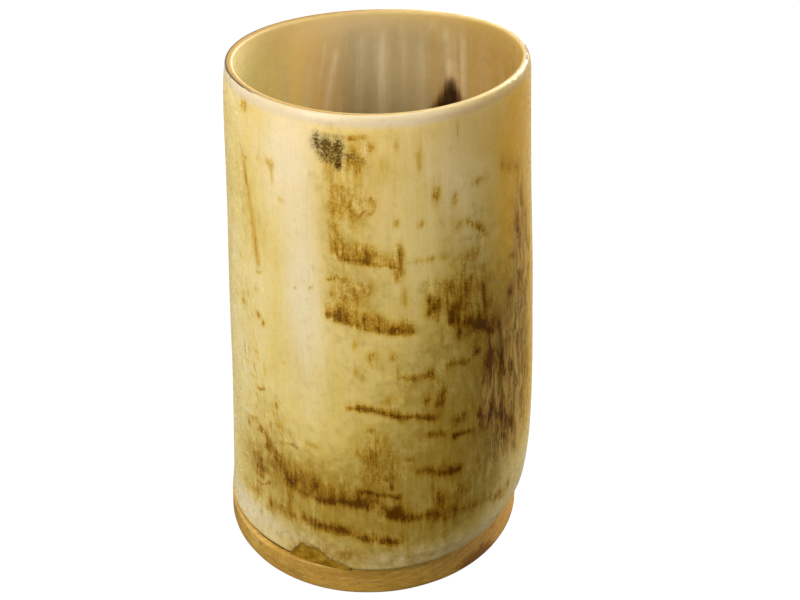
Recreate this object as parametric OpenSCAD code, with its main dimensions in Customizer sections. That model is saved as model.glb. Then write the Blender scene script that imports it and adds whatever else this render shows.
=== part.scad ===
// Horn beaker: a length of polished cow horn, glued over the spigot of a turned wood base.
// Millimetres. The origin is the centre of the underside of the base and +Z is up.

/* [Horn barrel] */
// Height of the middle of the rim above the table
rim_h = 130.4; // [120:0.2:140]
// How far the front of the rim stands higher than the back, in degrees
rim_tilt = 1.3; // [0:0.1:2.5]
// Thickness of the horn at its left and right
wall_side = 2.15; // [1.8:0.05:2.6]
// Thickness of the horn at its front and back
wall_front = 2.9; // [2.4:0.05:3.4]
// How much the horn's three soft lobes stand out, as a part of its radius
lobe = 0.023; // [0:0.001:0.03]
// Height of the rounded outer edge of the rim
bevel_h = 3.5; // [2.5:0.1:4.5]

/* [Wood base] */
// Radius of the base at its widest, just above the foot
foot_r = 40.1; // [39.6:0.05:40.6]
// Height of the seat that the horn stands on, at the centre
seat_h = 8.6; // [8:0.1:10]
// Slope of the seat, higher at the right, in degrees
seat_side = 3.4; // [0:0.1:4]
// Slope of the seat, higher at the front, in degrees
seat_front = 0.9; // [0:0.1:2]
// Radius of the spigot inside the horn
spigot_r = 37; // [36.4:0.1:37.2]
// Height of the top of the spigot above the table
spigot_top = 17; // [15:0.5:19]

/* [Glue and sealing] */
// Gap around the spigot that the glue fills
glue_gap = 0.25; // [0.15:0.05:0.3]
// Thickness of the glue between the seat and the horn
glue_film = 0.3; // [0.2:0.05:0.4]
// Thickness of the sealing layer poured over the wood
seal_t = 2; // [1.5:0.1:3]

/* [Chip in the lower edge] */
// Direction of the filled chip, with -90 at the front
chip_angle = -115; // [-125:1:-105]
// Width of the chip along the edge
chip_w = 17; // [12:0.5:18]
// Height of the chip above the seat
chip_h = 4.8; // [3:0.1:5.5]

/* [Hidden] */
$fn = 96;

// The barrel at eight heights from the seat (0) to the rim (1): [height, axis x, outer radius].
barrel = [
    [0, 1.9, 40.9],
    [0.05, 2.8, 41],
    [0.12, 3.5, 40.95],
    [0.25, 4.1, 40.3],
    [0.5, 4.5, 38.9],
    [0.75, 4.6, 37.1],
    [0.92, 4.7, 36],
    [1, 5, 35.3],
];
axis_y = 0.7;        // the mouth's centre lies this far behind the foot's
lobe_foot = 50;      // direction of the first lobe at the seat
lobe_mouth = 30;     // and at the rim
bevel_w = 0.8;       // mean width of the rounded outer edge
bevel_right = 0.35;  // added at the right and taken off at the left
bevel_front = 0.35;  // added at the front and taken off at the back
ground_w = 1.4;      // at the right the lower edge is ground back by this much
ground_dir = -20;    // most of all in this direction
ground_t = 0.04;     // up to this height on the barrel
bore_shift = -0.3;   // the mouth's hollow lies this far forward of its outside
around = 60;         // points round each ring of the barrel
outer_rings = [0, 0.02, 0.04, 0.06, 0.08, 0.12, 0.17, 0.23, 0.3, 0.38, 0.46, 0.54, 0.62, 0.7, 0.78, 0.86, 0.93];
bevel_steps = [1, 0.75, 0.5, 0.28, 0.1, 0];
inner_rings = [1, 0.9, 0.8, 0.7, 0.6, 0.5, 0.42, 0.36, 0.3, 0.25, 0.2, 0.15, 0];

spigot_x = 1.7;                    // the spigot is centred in the horn, the foot is sanded to its outside
bore_r = spigot_r + glue_gap;      // the round seat cut inside the horn
hollow_r = bore_r - 0.45;          // the horn's hollow just above that seat
hollow_round = 0.15;               // the hollow is round up to here
hollow_true = 0.36;                // and follows the outside from here
foot_round = 1;                    // rounding of the base's lower edge
foot_taper = 0.35;                 // the base narrows by this much towards the seat
spigot_chamfer = 0.6;
film_x = 0.6;                      // the glue film under the horn
film_r = 38.8;                     // stops short of the outside
meniscus = 1.2;                    // how far the sealing climbs up the horn
meniscus_w = 2.6;                  // and how wide its curve is
chip_floor_r = 38.3;               // how deep the chip goes into the horn
reach = 60;                        // larger than half the object, for cutting

// ---------- smooth curves ----------
function mix(a, b, t) = a + (b - a) * t;
function smooth(a, b, t) = let (s = min(max((t - a) / (b - a), 0), 1)) s * s * (3 - 2 * s);
function row_slope(rows, col, i) =
    let (a = max(i - 1, 0), b = min(i + 1, len(rows) - 1))
    (rows[b][col] - rows[a][col]) / (rows[b][0] - rows[a][0]);
function row_below(rows, t) = max([0, for (i = [0:len(rows) - 2]) if (rows[i][0] <= t) i]);
// A column of the rows at t, on a cubic curve through them.
function along(rows, col, t) =
    let (
        i = row_below(rows, t),
        h = rows[i + 1][0] - rows[i][0],
        s = (t - rows[i][0]) / h,
        m0 = row_slope(rows, col, i) * h,
        m1 = row_slope(rows, col, i + 1) * h
    )
    (2 * s ^ 3 - 3 * s ^ 2 + 1) * rows[i][col] + (s ^ 3 - 2 * s ^ 2 + s) * m0
    + (3 * s ^ 2 - 2 * s ^ 3) * rows[i + 1][col] + (s ^ 3 - s ^ 2) * m1;

// ---------- horn barrel ----------
function seat_z(x, y) = seat_h + x * tan(seat_side) - y * tan(seat_front) / cos(seat_side);
function rim_z(y) = rim_h - y * tan(rim_tilt);
function raised(x, y, t) = [x, y, mix(seat_z(x, y), rim_z(y), t)];
function horn_r(t, a) = along(barrel, 2, t) * (1 + lobe * cos(3 * (a - mix(lobe_foot, lobe_mouth, t))));
function ground(t, a) = ground_w * max(0, cos(a - ground_dir)) ^ 2 * max(0, 1 - t / ground_t);
function wall(a) = wall_side * cos(a) ^ 2 + wall_front * sin(a) ^ 2;
function bevel(t, a) =
    let (s = min((1 - t) * (rim_h - seat_h) / bevel_h, 1))
    (bevel_w + bevel_right * cos(a) - bevel_front * sin(a)) * (1 - sqrt(1 - (1 - s) ^ 2));
function outer_point(t, a) =
    let (r = horn_r(t, a) - bevel(t, a) - ground(t, a))
    raised(along(barrel, 1, t) + r * cos(a), axis_y * t + r * sin(a), t);
function inner_point(t, a) =
    let (w = smooth(hollow_round, hollow_true, t), r = mix(hollow_r, horn_r(t, a) - wall(a), w))
    raised(
        mix(spigot_x, along(barrel, 1, t), w) + r * cos(a),
        (axis_y + bore_shift) * t * w + r * sin(a),
        t
    );

// The horn as a plain tube, before its round seat and its chip are cut.
module horn_tube() {
    bevel_rings = [for (s = bevel_steps) 1 - s * bevel_h / (rim_h - seat_h)];
    outside = concat(outer_rings, bevel_rings);
    rings = concat(
        [for (t = outside) [for (i = [0:around - 1]) outer_point(t, i * 360 / around)]],
        [for (t = inner_rings) [for (i = [0:around - 1]) inner_point(t, i * 360 / around)]]
    );
    n = len(rings);
    polyhedron(
        points = [for (ring = rings) each ring],
        faces = [
            for (k = [0:n - 1], i = [0:around - 1])
                let (
                    a = k * around + i,
                    b = k * around + (i + 1) % around,
                    c = (k + 1) % n * around + (i + 1) % around,
                    d = (k + 1) % n * around + i
                )
                each [[a, d, c], [a, c, b]]
        ]
    );
}

// Places its children on the slope of the seat.
module on_seat() {
    translate([0, 0, seat_h]) rotate([-seat_front, -seat_side, 0]) children();
}

module above_seat() {
    on_seat() translate([-reach, -reach, 0]) cube(2 * reach);
}

module below_film() {
    on_seat() translate([-reach, -reach, -glue_film - 2 * reach]) cube(2 * reach);
}

// The broken-out chip in the horn's lower edge: steep at its left, running out to the right.
module chip() {
    outline = [
        [-0.5, -0.2], [-0.5, 0.05], [-0.31, 1], [-0.21, 0.85], [-0.06, 1],
        [0.08, 0.6], [0.2, 0.4], [0.37, 0.2], [0.5, 0.05], [0.5, -0.2],
    ];
    on_seat() translate([spigot_x, 0, 0]) rotate([0, 0, chip_angle])
        translate([chip_floor_r, 0, 0]) rotate([90, 0, 90]) linear_extrude(8)
            polygon([for (p = outline) [p.x * chip_w, p.y * chip_h]]);
}

module horn_barrel() {
    color("#d8c782") difference() {
        horn_tube();
        translate([spigot_x, 0, -1]) cylinder(r = bore_r, h = spigot_top + seal_t + meniscus + 1);
        chip();
    }
}

// ---------- wood base ----------
module wood_base() {
    arc = [for (a = [-90:15:0]) [foot_r - foot_round + foot_round * cos(a), foot_round + foot_round * sin(a)]];
    disc_top = seat_h + foot_r * tan(seat_side) + 2;
    color("#b8863f") {
        difference() {
            rotate_extrude() polygon(concat([[0, 0]], arc, [[foot_r - foot_taper, disc_top], [0, disc_top]]));
            on_seat() translate([-reach, -reach, -glue_film]) cube(2 * reach);
        }
        translate([spigot_x, 0, 2]) cylinder(r = spigot_r, h = spigot_top - spigot_chamfer - 2);
        translate([spigot_x, 0, spigot_top - spigot_chamfer])
            cylinder(r1 = spigot_r, r2 = spigot_r - spigot_chamfer, h = spigot_chamfer);
    }
}

// ---------- glue, sealing and filler ----------
// A sleeve round the spigot and a thin film under the horn, in one run of glue.
module glue_joint() {
    color("#4a3218") difference() {
        union() {
            translate([spigot_x, 0, 0]) cylinder(r = bore_r, h = spigot_top - spigot_chamfer);
            difference() {
                translate([film_x, 0, 0]) cylinder(r = film_r, h = spigot_top - spigot_chamfer);
                above_seat();
            }
        }
        translate([spigot_x, 0, -1]) cylinder(r = spigot_r, h = spigot_top + 2);
        below_film();
    }
}

// Clear resin over the top of the spigot, dished up to the horn at its edge.
module floor_seal() {
    top = spigot_top + seal_t;
    curve = [
        for (a = [0:15:90])
            [bore_r - meniscus_w * (1 - sin(a)) - 0.2 * sin(a), top + meniscus * (1 - cos(a))]
    ];
    under = [
        [0, spigot_top], [spigot_r - spigot_chamfer, spigot_top],
        [spigot_r, spigot_top - spigot_chamfer], [bore_r, spigot_top - spigot_chamfer],
        [bore_r, top + meniscus],
    ];
    color("#c9a55a") translate([spigot_x, 0, 0]) rotate_extrude()
        polygon(concat(under, [for (i = [len(curve) - 1:-1:0]) curve[i]], [[0, top]]));
}

// Brown paste that fills the chip flush with the horn.
module edge_filler() {
    color("#8a6420") intersection() {
        horn_tube();
        chip();
    }
}

horn_barrel();
wood_base();
glue_joint();
floor_seal();
edge_filler();
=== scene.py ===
"""The looks of the horn beaker, in metres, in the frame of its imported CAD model.

A barrel of polished cow horn stands on a turned wood base. The barrel, the base, the sealing over its floor
and the paste in its chipped edge are rebuilt as fine meshes on the CAD shapes. The glue keeps its CAD mesh.
Angles are in degrees round +Z: 0 is right, -90 front. The barrel's heights are in millimetres above its seat.
"""

import math
from types import SimpleNamespace

import bpy
import numpy as np
from mathutils import Matrix, Vector


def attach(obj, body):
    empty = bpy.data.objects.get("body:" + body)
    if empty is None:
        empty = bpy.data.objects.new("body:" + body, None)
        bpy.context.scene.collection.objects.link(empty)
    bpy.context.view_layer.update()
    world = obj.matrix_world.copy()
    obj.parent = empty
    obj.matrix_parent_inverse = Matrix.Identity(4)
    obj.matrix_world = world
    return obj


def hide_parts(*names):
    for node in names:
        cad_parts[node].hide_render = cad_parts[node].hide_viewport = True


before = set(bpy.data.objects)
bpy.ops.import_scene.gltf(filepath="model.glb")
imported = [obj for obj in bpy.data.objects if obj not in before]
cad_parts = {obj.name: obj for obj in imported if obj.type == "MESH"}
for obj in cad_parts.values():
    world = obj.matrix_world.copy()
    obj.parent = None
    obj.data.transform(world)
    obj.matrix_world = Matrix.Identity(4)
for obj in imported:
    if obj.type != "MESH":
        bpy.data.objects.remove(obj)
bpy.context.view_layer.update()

MM = 0.001

# ---------- the design's sizes, in millimetres, as in part.scad ----------
BARREL = np.array([  # height (0 at the seat, 1 at the rim), axis x, outer radius
    [0, 1.9, 40.9],
    [0.05, 2.8, 41],
    [0.12, 3.5, 40.95],
    [0.25, 4.1, 40.3],
    [0.5, 4.5, 38.9],
    [0.75, 4.6, 37.1],
    [0.92, 4.7, 36],
    [1, 5, 35.3],
])
RIM_H, RIM_TILT = 130.4, 1.3
SEAT_H, SEAT_SIDE, SEAT_FRONT = 8.6, 3.4, 0.9
LENGTH = RIM_H - SEAT_H
AXIS_Y, BORE_SHIFT = 0.7, -0.3
LOBE, LOBE_FOOT, LOBE_MOUTH = 0.023, 50, 30
WALL_SIDE, WALL_FRONT = 2.15, 2.9
BEVEL_H, BEVEL_W, BEVEL_RIGHT, BEVEL_FRONT = 3.5, 0.8, 0.35, 0.35
GROUND_W, GROUND_DIR, GROUND_T = 1.4, -20, 0.04
FOOT_R, FOOT_TAPER, FOOT_ROUND = 40.1, 0.35, 1
SPIGOT_X, SPIGOT_R, SPIGOT_TOP, SPIGOT_EASE = 1.7, 37, 17, 0.6
PLUG_R, PLUG_H = SPIGOT_R - SPIGOT_EASE, SPIGOT_TOP - SPIGOT_EASE  # where the easing of its top starts
GLUE_GAP, GLUE_FILM = 0.25, 0.3
SEAL_T, MENISCUS, MENISCUS_W = 2, 1.2, 2.6
BORE_R = SPIGOT_R + GLUE_GAP
BORE_TOP = SPIGOT_TOP + SEAL_T + MENISCUS
HOLLOW_R, HOLLOW_ROUND, HOLLOW_TRUE = BORE_R - 0.45, 0.15, 0.36
CHIP_ANGLE, CHIP_W, CHIP_H = -115, 17, 4.8
CHIP_TOP = [  # the chip's upper edge: share of its width from the middle, share of its height
    (-0.5, 0.05), (-0.31, 1), (-0.21, 0.85), (-0.06, 1), (0.08, 0.6), (0.2, 0.4), (0.37, 0.2), (0.5, 0.05),
]

# ---------- sizes of the fine shapes, in millimetres ----------
SKIN_R = 39  # mean outer radius, for turning angles into lengths
SKIN_DOWN = 0.11  # the whole skin lies this much lower, so that its bumps stay inside the CAD shape
CHIP_DEPTH, NICK_DEPTH = 1.5, 0.07
FLOOR_HALF = 3000
LIP_EASE = 0.45  # rounding of the inner top edge
LIP_FLAT = (0.12, 0.35, 0.6, 0.85, 1)  # where the rings lie across the flat of the lip
LIP_CURL = (30, 60, 90)  # and round its inner edge, in degrees
LIP_SHARE = (1, 1, 1, 0.9, 0.75, 0.6, 0.45, 0.25)  # how much each of those rings shows the lip's colour


# ---------- curves and noise ----------
def smooth(a, b, x):
    s = np.clip((x - a) / (b - a), 0, 1)
    return s * s * (3 - 2 * s)


def cosd(a):
    return np.cos(np.radians(a))


def sind(a):
    return np.sin(np.radians(a))


def tand(a):
    return math.tan(math.radians(a))


def along(rows, col, t):
    """A column of the rows at t, on a cubic curve through them."""
    x, y = rows[:, 0], rows[:, col]
    last = len(x) - 1
    slopes = np.array([(y[min(i + 1, last)] - y[max(i - 1, 0)]) / (x[min(i + 1, last)] - x[max(i - 1, 0)])
                       for i in range(last + 1)])
    i = np.clip(np.searchsorted(x, t, side="right") - 1, 0, last - 1)
    h = x[i + 1] - x[i]
    s = (t - x[i]) / h
    return ((2 * s**3 - 3 * s**2 + 1) * y[i] + (s**3 - 2 * s**2 + s) * h * slopes[i]
            + (3 * s**2 - 2 * s**3) * y[i + 1] + (s**3 - s**2) * h * slopes[i + 1])


class Lumps:
    """Smooth random values from 0 to 1 over the barrel's skin, the same in every run."""

    def __init__(self, seed, around, up):
        self.up = up
        self.cols = max(3, round(2 * math.pi * SKIN_R / around))
        self.rows = math.ceil(150 / up) + 3
        self.table = np.random.default_rng(seed).random((self.rows, self.cols))

    def __call__(self, angle, height):
        u = (angle / 360) % 1 * self.cols
        v = np.clip(height / self.up + 1, 0, self.rows - 1.001)
        i, j = u.astype(int) % self.cols, v.astype(int)
        fu, fv = smooth(0, 1, u - np.floor(u)), smooth(0, 1, v - j)
        k = (i + 1) % self.cols
        low = self.table[j, i] * (1 - fu) + self.table[j, k] * fu
        high = self.table[j + 1, i] * (1 - fu) + self.table[j + 1, k] * fu
        return low * (1 - fv) + high * fv


def layered(seed, around, up, layers=3):
    """Lumps of one size with finer ones on them."""
    parts = [Lumps(seed + n, around / 2**n, up / 2**n) for n in range(layers)]
    total = sum(0.5**n for n in range(layers))
    return lambda a, h: sum(0.5**n * part(a, h) for n, part in enumerate(parts)) / total


# ---------- the barrel's shape ----------
def seat_z(x, y):
    return SEAT_H + x * tand(SEAT_SIDE) - y * tand(SEAT_FRONT) / math.cos(math.radians(SEAT_SIDE))


def raised(x, y, t):
    rim = RIM_H - y * tand(RIM_TILT)
    return np.stack([x, y, seat_z(x, y) * (1 - t) + rim * t], -1)


def horn_r(t, a):
    return along(BARREL, 2, t) * (1 + LOBE * cosd(3 * (a - LOBE_FOOT - (LOBE_MOUTH - LOBE_FOOT) * t)))


def bevel(t, a):
    s = np.minimum((1 - t) * LENGTH / BEVEL_H, 1)
    return (BEVEL_W + BEVEL_RIGHT * cosd(a) - BEVEL_FRONT * sind(a)) * (1 - np.sqrt(1 - (1 - s) ** 2))


def ground(t, a):
    return GROUND_W * np.maximum(0, cosd(a - GROUND_DIR)) ** 2 * np.maximum(0, 1 - t / GROUND_T)


def outer_point(t, a, proud=0):
    """A point of the barrel's outside, standing proud of the CAD surface by so many millimetres."""
    r = horn_r(t, a) - bevel(t, a) - ground(t, a) + proud
    return raised(along(BARREL, 1, t) + r * cosd(a), AXIS_Y * t + r * sind(a), t)


def inner_point(t, a, proud=0):
    w = smooth(HOLLOW_ROUND, HOLLOW_TRUE, t)
    wall = WALL_SIDE * cosd(a) ** 2 + WALL_FRONT * sind(a) ** 2
    r = HOLLOW_R * (1 - w) + (horn_r(t, a) - wall) * w - proud
    x = SPIGOT_X * (1 - w) + along(BARREL, 1, t) * w
    return raised(x + r * cosd(a), (AXIS_Y + BORE_SHIFT) * t * w + r * sind(a), t)


# ---------- marks on the horn ----------
# A bar is a stain along a path of (angle, height), how far it fades below and above it, and its strength.
# A blot is an angle, a height, half its width, half its height and its strength.
# A line is a path, half its width and its strength. Widths and heights are in millimetres.
BARS = [
    ([(-107, 91), (-104, 89.2), (-96, 88.8), (-88, 87.8), (-85.5, 87.2)], 0.7, 3.4, 0.85),
    ([(-110, 75), (-104, 74.4), (-96, 73), (-90, 72), (-82, 71.4)], 1.2, 2.8, 1.0),
    ([(-106, 73.6), (-97, 72.2), (-86, 70.9)], 0.7, 1.4, 0.9),
    ([(-104, 50.6), (-99, 50.2), (-90, 49), (-84, 47.8), (-80, 47.2), (-76, 46.4)], 0.6, 1.5, 0.9),
    ([(-86, 59.4), (-80, 59), (-75, 58.6)], 1, 1.2, 0.62), ([(-70, 59.6), (-62, 59)], 0.8, 1, 0.5),
    ([(-101, 117.2), (-96, 117.4)], 0.5, 0.8, 0.5), ([(-60, 94.8), (-57, 93), (-54, 91.2)], 1, 1.4, 0.75),
    ([(-68, 72), (-62, 69.6), (-57, 67.6), (-53, 65), (-50, 63.4)], 1.4, 3, 0.95),
    ([(-67, 39.2), (-61.5, 38.8)], 0.7, 0.9, 1.0),
    ([(-78, 31.4), (-72, 29.6), (-66, 28.8)], 1.3, 1.6, 0.85),
    ([(-57, 43), (-51, 41), (-47, 38.4), (-42, 35), (-38, 31)], 1.6, 2.2, 0.9),
    ([(-140, 30.4), (-134, 27.5), (-130, 23.5), (-124, 21.8), (-116, 21.6), (-108, 21.8), (-97, 21)],
     1.3, 5, 0.72),
    ([(-115, 21.6), (-108, 22.4), (-102, 22), (-97, 21.6)], 0.9, 1.3, 0.95),
    ([(-99, 25.6), (-93, 24.6), (-88, 24)], 0.7, 1, 0.8),
    ([(-93, 21.2), (-89, 19.4), (-86, 18.8)], 2, 2.2, 0.8),
    ([(-85, 17.6), (-80, 17), (-76, 17.4)], 1.2, 1.4, 0.8),
    ([(-78, 17), (-70, 16.6), (-60, 15), (-48, 13.6), (-40, 12.4)], 2.4, 1.8, 0.5),
    ([(-122, 14), (-117, 13), (-111, 13.8), (-106, 13)], 1.8, 2, 0.85),
    ([(-106, 13), (-101, 11.6), (-96, 11.4), (-91, 10), (-87, 9.4)], 1.1, 1.7, 0.9),
    ([(-42, 105), (-36, 103), (-28, 100)], 2, 2.4, 0.4),
]
BLOTS = [
    (-104, 113, 5, 3, 0.28), (-107, 103, 2.6, 8, 0.14), (-98.5, 113, 2, 3, 0.55), (-102, 103, 3, 5, 0.14),
    (-149, 118, 2, 1.2, 0.55), (-138.5, 107.6, 1.2, 0.9, 0.45), (-133, 108.4, 1.5, 1.1, 0.62),
    (-132, 106, 0.7, 2, 0.4), (-128, 100.6, 1, 0.6, 0.5), (-154, 68.4, 1.3, 0.8, 0.85),
    (-154, 70.6, 1.1, 0.7, 0.5), (-144, 67.6, 1, 1, 0.7), (-141, 66.4, 0.8, 0.8, 0.5),
    (-144, 74.4, 1, 0.8, 0.35), (-155, 80, 1, 0.8, 0.35), (-94, 115.4, 0.8, 1.2, 0.62),
    (-86, 115.6, 0.6, 1.4, 0.4), (-90, 111, 1, 2.4, 0.3), (-101, 112.5, 2, 1, 0.5),
    (-106, 92.6, 2, 2.4, 0.8), (-98.5, 90.8, 3, 1.8, 0.5), (-85.5, 89.5, 0.9, 3, 0.75),
    (-86.5, 85.6, 1.1, 1.6, 0.7), (-99, 103, 5.5, 6, 0.26), (-104, 80.5, 4, 5, 0.3),
    (-98, 82.5, 2.4, 2.4, 0.34), (-108.5, 80, 1, 1, 0.5), (-103, 75.4, 3, 1.6, 0.7),
    (-96, 73.6, 2, 1.4, 0.9), (-87, 71.8, 2, 1, 0.9), (-84, 79.5, 1, 3, 0.3), (-96, 64, 1.6, 2.4, 0.42),
    (-88, 65, 1.2, 1.6, 0.32), (-101, 67.4, 0.7, 1.8, 0.42), (-101, 61, 0.8, 1.6, 0.42),
    (-87, 61.8, 0.8, 1.4, 0.38), (-98.5, 59.5, 0.7, 1.4, 0.35), (-76, 82, 0.8, 1.6, 0.5),
    (-75.5, 78, 0.8, 2, 0.55), (-75.8, 74.8, 1, 1.2, 0.6), (-73.6, 75, 0.7, 2, 0.62),
    (-72, 79, 0.6, 3, 0.42), (-70.6, 70, 0.8, 3, 0.5), (-72.6, 103.5, 1, 2.6, 0.6),
    (-65.6, 101, 0.8, 1.8, 0.6), (-86.6, 98.6, 0.8, 1.2, 0.5), (-78, 97.2, 1, 0.9, 0.45),
    (-64.6, 95, 1.6, 1.4, 0.52), (-78, 112, 0.6, 2.4, 0.42), (-55, 103.4, 2.6, 0.9, 0.5),
    (-79, 88.4, 1.2, 0.9, 0.45), (-75, 88.6, 1, 0.9, 0.42), (-70, 88, 1, 0.9, 0.4), (-60, 76, 7, 6, 0.3),
    (-53.5, 76, 0.9, 4.4, 0.85), (-51, 72.4, 1, 1.6, 0.75), (-66.4, 74, 2, 1.8, 0.75),
    (-64, 80, 1.2, 2.4, 0.6), (-60.5, 78.6, 0.9, 2.6, 0.65), (-68, 80.5, 1, 2, 0.55),
    (-65, 67.6, 1, 2.2, 0.8), (-57, 66.8, 2.4, 1.6, 0.6), (-54, 82, 0.8, 1, 0.4), (-63, 86, 4, 2, 0.26),
    (-56, 87, 3, 2, 0.26), (-77.6, 51.4, 1, 1.4, 0.6), (-71.8, 52.4, 1, 3, 0.8),
    (-73.6, 57.6, 1, 1.8, 0.62), (-76, 46.6, 1.4, 0.9, 0.8), (-73, 49.8, 1.2, 0.8, 0.6),
    (-99, 50.2, 2, 0.9, 1.0), (-83, 47.6, 2.4, 0.7, 0.9), (-89, 52.8, 2.4, 1.4, 0.24),
    (-95, 36, 4, 5.4, 0.38), (-95, 41, 1.4, 1.6, 0.45), (-97, 44, 1.2, 0.8, 0.35), (-76, 41, 1.3, 1, 0.58),
    (-72.6, 41, 1.3, 1, 0.52), (-66, 43.4, 1.8, 1.8, 0.45), (-83.5, 35.8, 1, 0.5, 0.52),
    (-91, 30.6, 2, 1.2, 0.42), (-80.5, 31, 1.4, 0.9, 0.36), (-90, 27.6, 0.7, 1.2, 0.62),
    (-67, 22, 6, 5, 0.16), (-56, 24, 6, 6, 0.1), (-73, 21, 2.4, 2.4, 0.3), (-53, 56, 2.2, 3.6, 0.9),
    (-54.6, 50.4, 1.4, 1, 0.8), (-58, 60.4, 1.6, 1, 0.7), (-50, 58, 1.4, 1.4, 0.75),
    (-45, 56, 0.8, 4, 0.75), (-50.4, 52, 1, 3, 0.6), (-38.6, 49.6, 0.7, 2, 0.7), (-34, 53, 0.9, 2.6, 0.9),
    (-44, 49, 1.6, 4, 0.5), (-41, 62, 1.2, 4, 0.5), (-47, 64, 1, 5, 0.45), (-29, 45, 0.7, 3, 0.6),
    (-33, 87, 2.6, 2.6, 0.6), (-30, 84.4, 2.4, 1.6, 0.5), (-36, 93, 2, 1.8, 0.35),
    (-38.6, 70, 1.4, 2.4, 0.75), (-36.6, 79.4, 1.4, 1, 0.6), (-32, 75, 1, 4, 0.5), (-28, 70, 2.4, 2, 0.5),
    (-26, 60, 2, 4, 0.5), (-36, 24.4, 0.8, 3, 0.7), (-48, 12, 0.7, 1.6, 0.55), (-43, 10.6, 1, 0.8, 0.5),
    (-49, 40, 5, 3.6, 0.7), (-56, 64, 3, 6, 0.25), (-55, 68, 5, 3, 0.2), (-96, 22.8, 1.6, 1.2, 0.75),
    (-88.5, 19.4, 2.4, 2, 0.6), (-129, 22.6, 2.4, 1.6, 0.6), (-134, 27, 4, 2.6, 0.55),
    (-126, 25, 5, 3.4, 0.42), (-138, 30, 2, 1.4, 0.6), (-153.6, 33, 1, 1.3, 0.8),
    (-145, 34, 1.6, 1.2, 0.42), (-150, 35.6, 1.4, 0.9, 0.36), (-133.6, 39, 1.8, 1.1, 0.8),
    (-132, 41, 1, 0.8, 0.5), (-136, 42, 0.9, 0.6, 0.6), (-135, 44.6, 0.7, 1, 0.5), (-145, 57, 1, 0.7, 0.6),
    (-144, 55.4, 0.8, 0.5, 0.5), (-153.6, 51.4, 1, 0.5, 0.45), (-140, 53, 0.7, 1.4, 0.3),
    (-117, 25.1, 0.6, 0.5, 1.0), (-145, 24.6, 1, 0.7, 0.7), (-144, 21.8, 3, 1.6, 0.6),
    (-145, 19.4, 2, 0.9, 0.5), (-150, 24, 5, 4, 0.3), (-155, 13, 2.4, 2.2, 0.38),
    (-148, 13.4, 2.4, 2.4, 0.38), (-139, 12.6, 1.7, 2.2, 0.65), (-132, 13.5, 1.6, 1.8, 0.68),
    (-126.5, 13, 1.7, 1.6, 0.72), (-129, 18, 1, 2.6, 0.35), (-107, 13.6, 2, 1.2, 0.95),
    (-97, 11.8, 1.4, 1, 0.8), (-90, 10, 1.6, 1, 0.85), (-115, 4, 8, 2, 0.5), (-118, 37, 2, 1, 0.3),
    (-123, 79.6, 0.6, 0.3, 0.6),
]
LEFT_STREAK = [(-149.6, 105), (-147, 97), (-144.5, 89), (-142.6, 82)]
LINES = [
    (LEFT_STREAK, 1.1, 0.36),
    ([(-108.5, 113), (-107.2, 104), (-107.8, 95)], 0.8, 0.16), ([(-110, 110), (-109.5, 98)], 0.6, 0.14),
    ([(-104, 106), (-100, 104.5), (-102, 101.5), (-98, 99.6)], 0.4, 0.42),
    ([(-106, 97), (-104.5, 93)], 0.7, 0.36),
    ([(-98, 99.4), (-96.5, 101), (-94, 100), (-92.6, 102.5), (-94, 104)], 0.35, 0.5),
    ([(-109.5, 84), (-106.5, 84.8), (-103.5, 83.8)], 0.4, 0.62), ([(-103.6, 89), (-103.3, 84)], 0.35, 0.55),
    ([(-101.5, 84), (-100, 78)], 0.6, 0.35), ([(-153, 108.6), (-150.5, 106.4), (-147.5, 106.2)], 0.4, 0.5),
    ([(-143.5, 78.8), (-139, 80)], 0.35, 0.4), ([(-151, 48.5), (-147, 49)], 0.35, 0.75),
    ([(-147, 47), (-144.5, 46.3), (-141, 47.4)], 0.35, 0.62), ([(-131, 57.8), (-129.6, 58.2)], 0.3, 0.5),
    ([(-146, 26.4), (-140, 30), (-136, 33), (-128, 35.4)], 0.45, 0.34),
    ([(-147.5, 36.6), (-142, 34), (-138, 31), (-131, 28.6)], 0.55, 0.4),
    ([(-138, 38), (-138.4, 31.5)], 0.4, 0.25), ([(-147.5, 16.8), (-143, 17), (-139.5, 19)], 0.4, 0.62),
    ([(-152, 24), (-146, 26.4)], 0.4, 0.4), ([(-57, 90.2), (-54.4, 89.6), (-52, 89.4)], 0.35, 0.6),
    ([(-86.5, 92.5), (-84.6, 86)], 0.5, 0.45), ([(-116.9, 80.8), (-115.9, 81.3)], 0.35, 1.0),
    ([(-39.6, 80), (-36, 79)], 0.4, 0.6), ([(-33.5, 58), (-33.2, 50)], 0.5, 0.7),
    ([(-31.5, 98), (-30, 88), (-29.5, 78)], 1.1, 0.3), ([(-27, 112), (-26, 90), (-25, 72)], 0.8, 0.12),
    ([(-30.4, 92), (-28.6, 84)], 0.5, 0.5), ([(-47, 34), (-44, 30), (-41, 27)], 0.5, 0.6),
    ([(-44, 37), (-40, 33)], 0.5, 0.7), ([(-73.5, 83), (-73, 74)], 0.4, 0.3),
    ([(-70, 82), (-69.6, 73)], 0.4, 0.3), ([(-66, 84), (-65.6, 76)], 0.4, 0.3),
    ([(-62.5, 84.5), (-62, 73)], 0.4, 0.32), ([(-58, 83), (-57.6, 72)], 0.4, 0.32),
    ([(-55.5, 84), (-55.2, 75)], 0.4, 0.3),
]
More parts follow.
